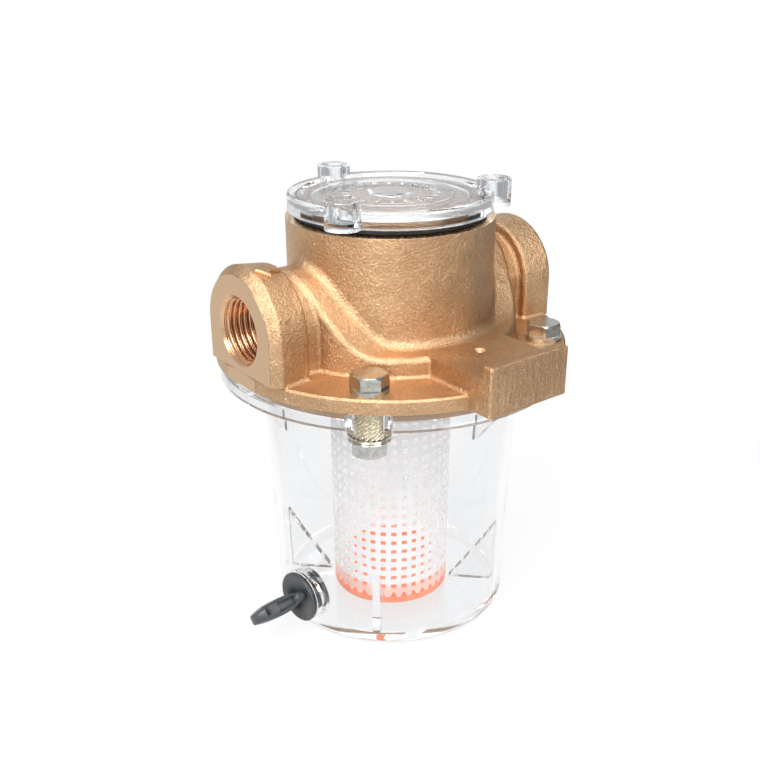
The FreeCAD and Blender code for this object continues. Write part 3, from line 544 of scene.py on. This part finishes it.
# Along the drain's axis, from the bowl's axis.
PLUG_END = 34.6
DRAIN_THREAD_START = 35.9
PLUG_SEAT = 42.1
PLUG_FACE = 43.7
PLUG_TIP = 61.6

DRAIN_THREAD_LENGTH = 5.4
DRAIN_THREAD_PITCH = 1.337
DRAIN_THREAD_CREST = 6.48       # radius
DRAIN_THREAD_ROOT = 6.05
SHANK_RADIUS = 6.0
PLUG_DISC_RADIUS = 8.57
PLUG_EDGE = 0.3
AXIS_RADIUS = 0.02              # a profile's ends stop just off the axis

# Along the wing, from the plug's face.
WING_WIDEST = 5.0
WING_HALF_LENGTH = 13.2
WING_POCKET = (3.2, 10.6)
WING_NOTCH = (13.3, 14.5)

WING_ROWS = 73
WING_HALF_WIDTH = 6.6
WING_EDGE = 1.3                 # half thickness at the ends of the crown
WING_CROWN = 1.6
WING_CROWN_LENGTH = 20.0
WING_CROWN_START = 1.0          # before the plug's face
WING_CUT_DEPTH = 2.6
WING_ROLL = math.radians(40)


def signed_power(value, power):
    return np.sign(value) * np.abs(value) ** power


def wing_surface():
    """Crowned leaf along the drain axis. Half width and half thickness follow an ellipse and an
    arch of sine; across, a section is (W cos^0.3, T sin^0.8) of its angle, so that the edges stay
    blunt. The edge has a long pocket and a notch near the tip."""
    s = np.linspace(0, 1, WING_ROWS)[:, None] * (PLUG_TIP - PLUG_FACE)
    a = np.linspace(0, 2 * np.pi, ROUND_STEPS, endpoint=False)[None, :]
    oval = 1 - ((s - WING_WIDEST) / WING_HALF_LENGTH) ** 2
    half = WING_HALF_WIDTH * np.sqrt(np.clip(oval, 0.02, 1))
    along_crown = (s + WING_CROWN_START) / WING_CROWN_LENGTH
    thick = WING_EDGE + WING_CROWN * np.sin(np.pi * along_crown)
    w = half * signed_power(np.cos(a), 0.3)
    t = thick * signed_power(np.sin(a), 0.8)
    edge = np.cos(a) > 0
    pocket = edge & (np.abs(t) < thick * 0.55) & (s > WING_POCKET[0]) & (s < WING_POCKET[1])
    notch = edge & (t > -thick * 0.35) & (s > WING_NOTCH[0]) & (s < WING_NOTCH[1])
    w = w - (pocket | notch) * WING_CUT_DEPTH
    body = np.stack((w, t, s + PLUG_FACE + 0 * a), -1)
    ends = [body[:1] * UP, body, body[-1:] * UP]
    return np.concatenate(ends).reshape(-1, 3), quads(len(s) + 2, a.size, False, True)


def disc_surface():
    """Shank, sealing face and low cone of the plug, turned about the drain axis."""
    radius = (AXIS_RADIUS, SHANK_RADIUS, SHANK_RADIUS, PLUG_DISC_RADIUS - PLUG_EDGE,
              PLUG_DISC_RADIUS, PLUG_DISC_RADIUS, PLUG_DISC_RADIUS - 0.5, PLUG_DISC_RADIUS - 0.9,
              AXIS_RADIUS)
    height = (PLUG_END, PLUG_END, PLUG_SEAT, PLUG_SEAT, PLUG_SEAT + PLUG_EDGE, PLUG_FACE - 0.7,
              PLUG_FACE - 0.2, PLUG_FACE - 0.35, PLUG_FACE + 0.2)
    return turned(radius, height, ROUND_STEPS)


def on_drain(surface, roll=0.0, start=0.0):
    """A surface built about Z set on the drain axis, start along it."""
    points, faces = surface
    width = np.cross(UP, drain_way) * math.cos(roll) + np.array(UP) * math.sin(roll)
    origin = drain_way * start + (0, 0, DRAIN_Z)
    return turn_to(points, drain_way, width, np.cross(drain_way, width), origin), faces


drain_thread = thread_surface(DRAIN_THREAD_LENGTH, DRAIN_THREAD_PITCH, DRAIN_THREAD_CREST,
                              DRAIN_THREAD_ROOT)
piece("drain_thread", on_drain(drain_thread, start=DRAIN_THREAD_START), DARK, "drain_plug")
plug_piece = piece("wing_plug",
                   join([on_drain(disc_surface()), on_drain(wing_surface(), WING_ROLL)]),
                   DARK, "drain_plug")
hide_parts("drain_plug")


# ---- Raised marks -------------------------------------------------------------------------------
MARK_FOOT = -0.2                # below the face it stands on
MARK_TOP_SHARE = 0.86           # of its outline
ARROW_X = -49.6
ARROW_TURN = math.radians(17)
ARROW_HEIGHT = 1.2
ARROW = ((-4.2, 0.0), (-0.6, -3.2), (-0.6, -1.2), (4.0, -1.2), (4.0, 1.2), (-0.6, 1.2), (-0.6, 3.2))
BOSS_RADIUS = 18.3              # at BOSS_START, widening by BOSS_WIDENING over BOSS_LENGTH
BOSS_START = 44.0
BOSS_LENGTH = 10.2
BOSS_WIDENING = 1.2
BOSS_WRAP = 19.0                # the radius at which v is measured round the boss
LID_RECESS_Z = 142.9
LID_MARKS = 20
LID_MARK_RADIUS = 14.6
LID_MARK_HEIGHT = 0.5
LID_MARK = ((-1.3, -0.5), (1.3, -0.5), (1.3, 0.5), (-1.3, 0.5))
HEXAGON_RADIUS = 8.0
HEXAGON_HEIGHT = 0.7


def raised_surface(outline, height, place):
    """Raised shape from an outline that its middle can see: out from the middle below the face, up
    at the outline, a little inside it at full height, and back. place(u, v, h) sets it on a
    face."""
    u, v = np.array(outline, float).T
    middle_u, middle_v = u.mean(), v.mean()
    rings = [(AXIS_RADIUS, MARK_FOOT), (1.0, MARK_FOOT), (1.0, height * 0.5),
             (MARK_TOP_SHARE, height), (AXIS_RADIUS, height)]
    points = [place(middle_u + (u - middle_u) * share, middle_v + (v - middle_v) * share,
                    np.full(len(u), h)) for share, h in rings]
    return np.concatenate(points), quads(len(rings), len(u), True, True)


def on_boss(u, v, h):
    """u back along the port, v round the top of the outlet's boss, h outwards."""
    x = ARROW_X + u
    r = BOSS_RADIUS + (np.abs(x) - BOSS_START) / BOSS_LENGTH * BOSS_WIDENING + h
    a = v / BOSS_WRAP + ARROW_TURN
    return np.stack((x, -r * np.sin(a), PORT_Z + r * np.cos(a)), -1)


def on_lid(u, v, h):
    """u and v across the lid from its middle, h above the floor of its recess."""
    return np.stack((u, v, LID_RECESS_Z + h), -1)


def lid_mark(turn):
    """One bar of the ring, along the radius at an angle."""
    along = np.array((np.cos(turn), np.sin(turn)))
    beside = np.array((-np.sin(turn), np.cos(turn)))
    outline = [along * (LID_MARK_RADIUS + a) + beside * b for a, b in LID_MARK]
    return raised_surface(outline, LID_MARK_HEIGHT, on_lid)


piece("flow_arrow", raised_surface(ARROW, ARROW_HEIGHT, on_boss), BRONZE, "housing",
      smooth=False)
marks = [lid_mark(2 * np.pi * mark / LID_MARKS) for mark in range(LID_MARKS)]
hexagon = [(HEXAGON_RADIUS * np.cos(k * np.pi / 3), HEXAGON_RADIUS * np.sin(k * np.pi / 3))
           for k in range(6)]
piece("lid_marks", join(marks + [raised_surface(hexagon, HEXAGON_HEIGHT, on_lid)]), CLEAR_LID,
      "lid", smooth=False)


# ---- Camera -------------------------------------------------------------------------------------
CAMERA_TURN = -38.16            # degrees
CAMERA_RISE = 22.46
CAMERA_DISTANCE = 328.04 * MM
CAMERA_TARGET = Vector((0, 0, 79.65 * MM))


def look(thing, turn, rise, distance):
    """Sets a camera or lamp that looks at the middle of the part, from degrees turned and
    raised and a distance in metres."""
    a, b = math.radians(turn), math.radians(rise)
    way = Vector((math.sin(a) * math.cos(b), -math.cos(a) * math.cos(b), math.sin(b)))
    thing.location = CAMERA_TARGET + way * distance
    thing.rotation_euler = way.to_track_quat("Z", "Y").to_euler()


camera = linked("camera", bpy.data.cameras.new("camera"))
look(camera, CAMERA_TURN, CAMERA_RISE, CAMERA_DISTANCE)
camera.data.sensor_width = 36.0
camera.data.lens = 45.78
camera.data.shift_x = -0.0137
camera.data.shift_y = -0.0025
camera.data.clip_start = 0.01
bpy.context.scene.camera = camera


# ---- Floor, backdrop and light ------------------------------------------------------------------
FLOOR_HALF = 3.0                # metres, as the next four
FLOOR_Z = -0.0002
MIRROR_RIGHT = (0.12, 0.32)
MIRROR_LEFT = (0.06, 0.20)
EDGE_SIDES = (0.09, 0.26)
SHADOW_REACH = (0.07, 0.22)
SHADOW_SHARE = 0.10
RIGHT_X, RIGHT_Y = 0.79, 0.61   # the camera's right on the floor is (RIGHT_X, -RIGHT_Y)
MIRROR_LEFT_SHARE = 0.3
EDGE_SHARE = 0.65
WHITE_TONE = (1.0, 1.0, 1.0)
FLOOR_GREY = (0.39, 0.39, 0.39)
WORLD_GREY = (0.36, 0.38, 0.41)
WORLD_TINT = (0.97, 0.98, 1.0, 1)
WORLD_LIGHT = 0.60
WORLD_FALL = 0.44               # how much less light comes from the right
WORLD_FALL_SPAN = (-0.2, 0.8)   # share of the way to the right, as the next
WORLD_SIDES = (0.3, 0.85)


def seen_directly(f):
    """Kinds of ray: from the camera or through clear plastic, mirrored, and through clear plastic
    alone."""
    ray = f.node("LightPath", output=None).outputs
    through = Value(f, ray["Is Transmission Ray"])
    return through.or_more(Value(f, ray["Is Camera Ray"])), Value(f, ray["Is Glossy Ray"]), through


def to_the_right(axes):
    """How far to the right of the part, from the camera's side."""
    x, y, _ = axes
    return x * RIGHT_X - y * RIGHT_Y


def floor_material():
    """White floor. Near the part a share of it is lit, so that it keeps the shadow. What metal
    mirrors of it is darker on the right and a little on the left, and what clear edges bend in
    from either side is grey."""
    f = Finish("floor")
    seen, glossy, through = seen_directly(f)
    lit = f.node("BsdfDiffuse", None, {"Color": (0.9, 0.9, 0.9, 1)})
    rightward = to_the_right(f.axes())
    sideways = rightward.unsigned().between(*EDGE_SIDES)
    leftward = (0.0 - rightward).between(*MIRROR_LEFT) * MIRROR_LEFT_SHARE
    shade = (glossy * (rightward.between(*MIRROR_RIGHT) + leftward)
             + through * sideways * EDGE_SHARE)
    tone = f.mix(shade, WHITE_TONE, FLOOR_GREY)
    white = f.node("Emission", None, {"Color": tone, "Strength": 1.0})
    far = f.node("VectorMath", {"operation": "LENGTH"}, {0: f.place}, "Value")
    white_share = 1.0 - SHADOW_SHARE * (1.0 - far.between(*SHADOW_REACH))
    return f.shown_as(f.node("MixShader", None, {0: seen.or_more(glossy) * white_share,
                                                 1: lit, 2: white}))


def studio_world():
    """White to the eye and grey at the sides through clear plastic. As light it is soft, and
    darker on the right."""
    f = Finish("studio", bpy.data.worlds.new("studio"))
    seen, _, through = seen_directly(f)
    rightward = to_the_right(f.axes(f.node("TexCoord", output="Generated")))
    level = WORLD_LIGHT - rightward.between(*WORLD_FALL_SPAN) * WORLD_FALL
    soft = f.node("Background", None, {"Color": WORLD_TINT, "Strength": level})
    sideways = rightward.unsigned().between(*WORLD_SIDES)
    tone = f.mix(through * sideways * EDGE_SHARE, WHITE_TONE, WORLD_GREY)
    white = f.node("Background", None, {"Color": tone, "Strength": 1.0})
    return f.shown_as(f.node("MixShader", None, {0: seen, 1: soft, 2: white}), "OutputWorld")


def soft_box(name, turn, rise, distance, size, watts):
    """Square lamp that looks at the middle of the part."""
    lamp = bpy.data.lights.new(name, "AREA")
    lamp.shape, lamp.size, lamp.energy = "SQUARE", size, watts
    look(linked(name, lamp), turn, rise, distance)


floor_mesh = bpy.data.meshes.new("floor")
corners = [(x * FLOOR_HALF, y * FLOOR_HALF, FLOOR_Z)
           for x, y in ((-1, -1), (1, -1), (1, 1), (-1, 1))]
floor_mesh.from_pydata(corners, [], [(0, 1, 2, 3)])
floor_mesh.materials.append(floor_material())
floor = linked("floor", floor_mesh)

# name, degrees turned and raised, distance and size in metres, watts
for lamp_row in (("key", -66, 42, 0.9, 0.5, 7.2),
                 ("fill", -20, 12, 1.1, 0.6, 0.7),
                 ("front", 14, 32, 1.0, 0.6, 4.8),
                 ("top", -30, 80, 0.9, 0.6, 3.6),
                 ("back", 142, 30, 0.9, 0.6, 0.35)):
    soft_box(*lamp_row)

bpy.context.scene.world = studio_world()
# Light that enters a clear rim crosses many faces before it leaves.
bpy.context.scene.cycles.max_bounces = 64
bpy.context.scene.cycles.glossy_bounces = 48
bpy.context.scene.cycles.transmission_bounces = 48
bpy.context.scene.view_settings.view_transform = "Standard"
